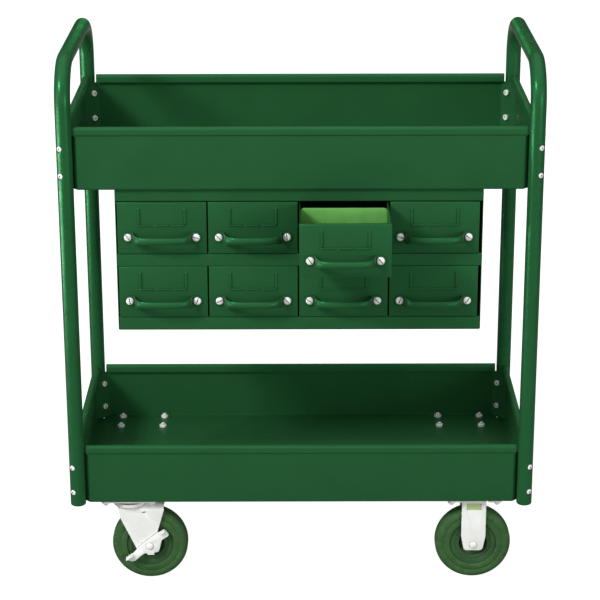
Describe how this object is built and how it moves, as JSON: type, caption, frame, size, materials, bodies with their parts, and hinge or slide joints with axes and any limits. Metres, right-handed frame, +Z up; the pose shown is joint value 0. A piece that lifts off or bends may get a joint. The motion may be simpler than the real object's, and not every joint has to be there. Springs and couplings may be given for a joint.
{
  "type": "stock cart",
  "caption": "Two-tray stock cart with bent-tube end handles, a cabinet of small sliding drawers under the upper tray, and rigid and swivelling casters with brakes.",
  "frame": {"origin": "middle of the bounding box at floor level, with the third drawer of the top row standing open as it is stored", "axes": "+X along the cart, from the swivelling to the rigid casters; +Y from the drawer fronts to the back; +Z up"},
  "size_m": [0.7664, 0.5436, 0.9008],
  "materials": {
    "tube_paint": "semi-gloss green powder coat on bent tube",
    "sheet_paint": "semi-gloss green powder coat on folded sheet",
    "zinc": "bright zinc plate, lightly worn",
    "divider_zinc": "zinc-plated sheet that takes up the green round it",
    "tyre": "matt dark green moulded tread with light scuffs",
    "core": "matt dark green moulded wheel core",
    "plug": "matt dark green end plug"
  },
  "bodies": {
    "cart": {"left_frame": "tube_paint", "right_frame": "tube_paint", "leg_plug_front_left": "plug", "leg_plug_back_left": "plug", "leg_plug_front_right": "plug", "leg_plug_back_right": "plug", "upper_tray": "sheet_paint", "lower_tray": "sheet_paint", "cabinet_shell": "sheet_paint", "cabinet_middle_shelf": "sheet_paint", "cabinet_bottom_shelf": "sheet_paint", "cabinet_partition_1": "sheet_paint", "cabinet_partition_2": "sheet_paint", "cabinet_partition_3": "sheet_paint", "rigid_bracket_front": "zinc", "rigid_axle_front": "zinc", "swivel_plate_front": "zinc", "swivel_kingpin_front": "zinc", "rigid_bracket_back": "zinc", "rigid_axle_back": "zinc", "swivel_plate_back": "zinc", "swivel_kingpin_back": "zinc"},
    "drawer_top_1": {"drawer_top_1": "sheet_paint", "drawer_top_1_pull": "sheet_paint", "drawer_top_1_divider": "divider_zinc"},
    "drawer_top_2": {"drawer_top_2": "sheet_paint", "drawer_top_2_pull": "sheet_paint", "drawer_top_2_divider": "divider_zinc"},
    "drawer_top_3": {"drawer_top_3": "sheet_paint", "drawer_top_3_pull": "sheet_paint", "drawer_top_3_divider": "divider_zinc"},
    "drawer_top_4": {"drawer_top_4": "sheet_paint", "drawer_top_4_pull": "sheet_paint", "drawer_top_4_divider": "divider_zinc"},
    "drawer_bottom_1": {"drawer_bottom_1": "sheet_paint", "drawer_bottom_1_pull": "sheet_paint", "drawer_bottom_1_divider": "divider_zinc"},
    "drawer_bottom_2": {"drawer_bottom_2": "sheet_paint", "drawer_bottom_2_pull": "sheet_paint", "drawer_bottom_2_divider": "divider_zinc"},
    "drawer_bottom_3": {"drawer_bottom_3": "sheet_paint", "drawer_bottom_3_pull": "sheet_paint", "drawer_bottom_3_divider": "divider_zinc"},
    "drawer_bottom_4": {"drawer_bottom_4": "sheet_paint", "drawer_bottom_4_pull": "sheet_paint", "drawer_bottom_4_divider": "divider_zinc"},
    "rigid_wheel_front": {"rigid_core_front": "core", "rigid_tyre_front": "tyre"},
    "swivel_fork_front": {"swivel_fork_front": "zinc", "swivel_axle_front": "zinc"},
    "swivel_wheel_front": {"swivel_core_front": "core", "swivel_tyre_front": "tyre"},
    "brake_front": {"brake_lever_front": "zinc"},
    "rigid_wheel_back": {"rigid_core_back": "core", "rigid_tyre_back": "tyre"},
    "swivel_fork_back": {"swivel_fork_back": "zinc", "swivel_axle_back": "zinc"},
    "swivel_wheel_back": {"swivel_core_back": "core", "swivel_tyre_back": "tyre"},
    "brake_back": {"brake_lever_back": "zinc"}
  },
  "joints": [
    {"name": "drawer_top_1_slide", "type": "slide", "parent": "cart", "child": "drawer_top_1", "axis": [0, -1, 0], "range_m": [0, 0.23]},
    {"name": "drawer_top_2_slide", "type": "slide", "parent": "cart", "child": "drawer_top_2", "axis": [0, -1, 0], "range_m": [0, 0.23]},
    {"name": "drawer_top_3_slide", "type": "slide", "parent": "cart", "child": "drawer_top_3", "axis": [0, -1, 0], "range_m": [-0.1238, 0.1062]},
    {"name": "drawer_top_4_slide", "type": "slide", "parent": "cart", "child": "drawer_top_4", "axis": [0, -1, 0], "range_m": [0, 0.23]},
    {"name": "drawer_bottom_1_slide", "type": "slide", "parent": "cart", "child": "drawer_bottom_1", "axis": [0, -1, 0], "range_m": [0, 0.23]},
    {"name": "drawer_bottom_2_slide", "type": "slide", "parent": "cart", "child": "drawer_bottom_2", "axis": [0, -1, 0], "range_m": [0, 0.23]},
    {"name": "drawer_bottom_3_slide", "type": "slide", "parent": "cart", "child": "drawer_bottom_3", "axis": [0, -1, 0], "range_m": [0, 0.23]},
    {"name": "drawer_bottom_4_slide", "type": "slide", "parent": "cart", "child": "drawer_bottom_4", "axis": [0, -1, 0], "range_m": [0, 0.23]},
    {"name": "rigid_wheel_front_spin", "type": "hinge", "parent": "cart", "child": "rigid_wheel_front", "pos_m": [0.2896, -0.08795, 0.0635], "axis": [0, 1, 0], "continuous": true},
    {"name": "swivel_front", "type": "hinge", "parent": "cart", "child": "swivel_fork_front", "pos_m": [-0.288, -0.08795, 0.135], "axis": [0, 0, 1], "continuous": true},
    {"name": "swivel_wheel_front_spin", "type": "hinge", "parent": "swivel_fork_front", "child": "swivel_wheel_front", "pos_m": [-0.25515, -0.08795, 0.0635], "axis": [0, 1, 0], "continuous": true},
    {"name": "brake_front_rock", "type": "hinge", "parent": "swivel_fork_front", "child": "brake_front", "pos_m": [-0.25515, -0.08795, 0.0635], "axis": [0, 1, 0], "range_deg": [-25, 0]},
    {"name": "rigid_wheel_back_spin", "type": "hinge", "parent": "cart", "child": "rigid_wheel_back", "pos_m": [0.2896, 0.22205, 0.0635], "axis": [0, 1, 0], "continuous": true},
    {"name": "swivel_back", "type": "hinge", "parent": "cart", "child": "swivel_fork_back", "pos_m": [-0.288, 0.22205, 0.135], "axis": [0, 0, 1], "continuous": true},
    {"name": "swivel_wheel_back_spin", "type": "hinge", "parent": "swivel_fork_back", "child": "swivel_wheel_back", "pos_m": [-0.25515, 0.22205, 0.0635], "axis": [0, 1, 0], "continuous": true},
    {"name": "brake_back_rock", "type": "hinge", "parent": "swivel_fork_back", "child": "brake_back", "pos_m": [-0.25515, 0.22205, 0.0635], "axis": [0, 1, 0], "range_deg": [-25, 0]}
  ]
}
